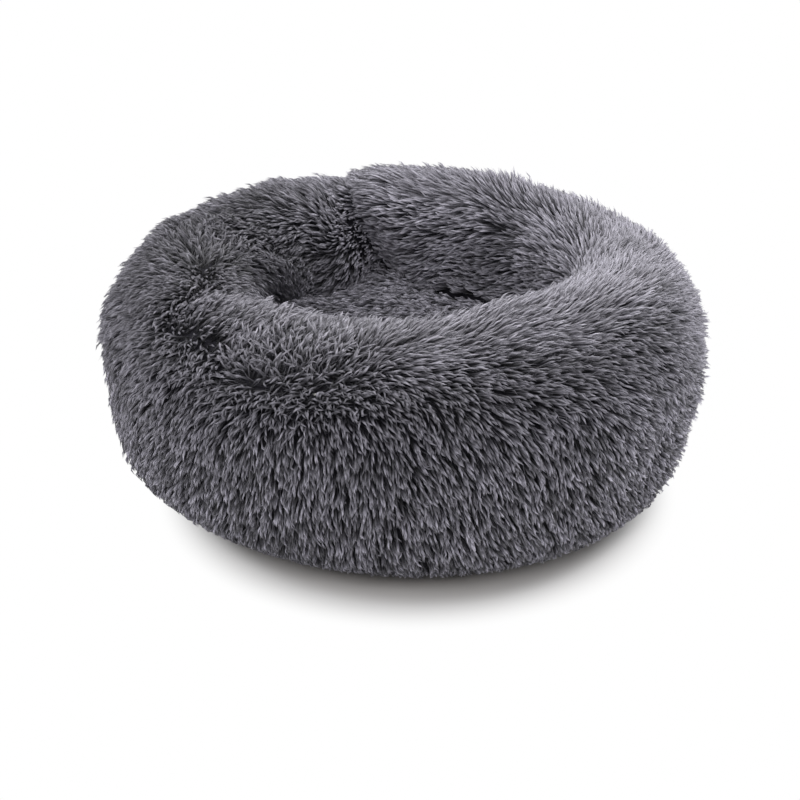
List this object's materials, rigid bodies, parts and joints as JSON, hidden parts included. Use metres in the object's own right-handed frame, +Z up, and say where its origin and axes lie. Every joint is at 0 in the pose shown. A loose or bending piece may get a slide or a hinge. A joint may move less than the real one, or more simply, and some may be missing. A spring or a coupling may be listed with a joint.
{
  "type": "donut pet bed",
  "caption": "Round pet bed: an overstuffed ring of long plush round a stuffed sleeping cushion, sewn to a base cloth with grip dots.",
  "frame": {"origin": "middle of the bed's footprint, on the floor under the grip dots", "axes": "+Z up; -Y is the front, where the picture was taken from; +X is the right side seen from the front"},
  "size_m": [0.4964, 0.4856, 0.2059],
  "materials": {
    "long_plush": "matte",
    "stuffing_fibre": "matte",
    "base_fabric": "matte"
  },
  "bodies": {
    "root": {"outer_strip": "long_plush", "inner_strip": "long_plush", "ring_fill": "stuffing_fibre", "cushion_cover": "long_plush", "cushion_fill": "stuffing_fibre", "base_cloth": "base_fabric"}
  },
  "joints": []
}
